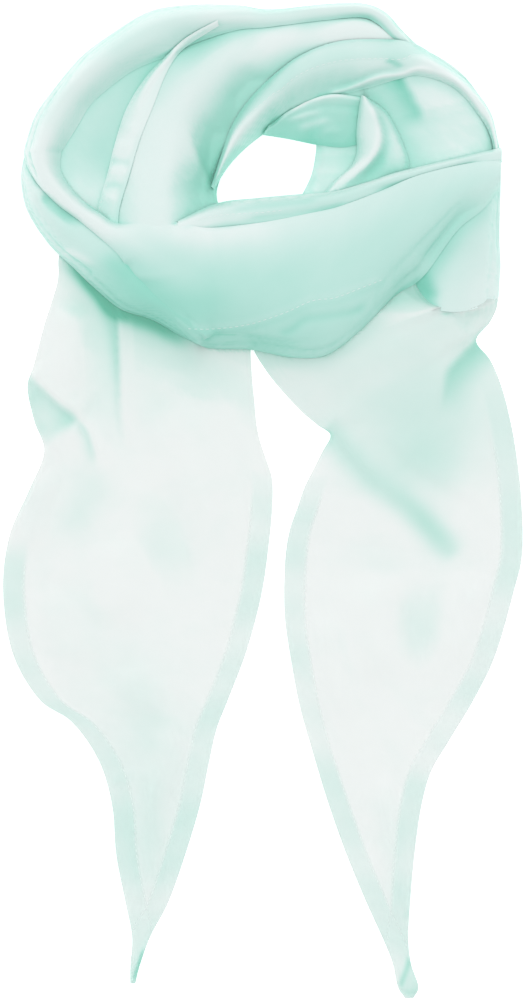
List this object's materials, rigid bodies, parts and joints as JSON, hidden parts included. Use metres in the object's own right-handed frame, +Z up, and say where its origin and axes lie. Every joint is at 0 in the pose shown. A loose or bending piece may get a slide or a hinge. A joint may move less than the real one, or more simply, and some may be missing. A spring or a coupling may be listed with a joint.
{
  "type": "chiffon scarf",
  "caption": "Sheer chiffon scarf wound into a soft ring around a neck hole, with two pointed hemmed ends laid flat below it.",
  "frame": {"origin": "on the table, below the middle of the scarf's outline as it lies", "axes": "+Y from the pointed ends towards the wound ring, +X to the right of the ring seen from above, +Z up from the table"},
  "size_m": [0.3126, 0.5994, 0.0393],
  "materials": {
    "cloth_sheer": "single layer of sheer pale mint chiffon, matt, hemmed along its edges",
    "cloth_layered": "several layers of pale mint chiffon on each other, matt with a soft sheen",
    "cloth_deep": "many layers of mint chiffon in the shade of the turns above, matt"
  },
  "bodies": {
    "root": {"hidden_layers": "cloth_deep", "neck_base": "cloth_deep", "inner_right": "cloth_layered", "side_panel": "cloth_deep", "inner_turn": "cloth_layered", "left_end": "cloth_sheer", "right_end": "cloth_sheer", "right_strand": "cloth_layered", "right_end_turned": "cloth_sheer", "under_turn": "cloth_layered", "outer_turn": "cloth_layered", "edge_strip": "cloth_layered", "crossing_turn": "cloth_layered", "neck_fold": "cloth_deep", "neck_leaf": "cloth_layered", "rolled_edge": "cloth_layered", "front_band": "cloth_layered"}
  },
  "joints": []
}
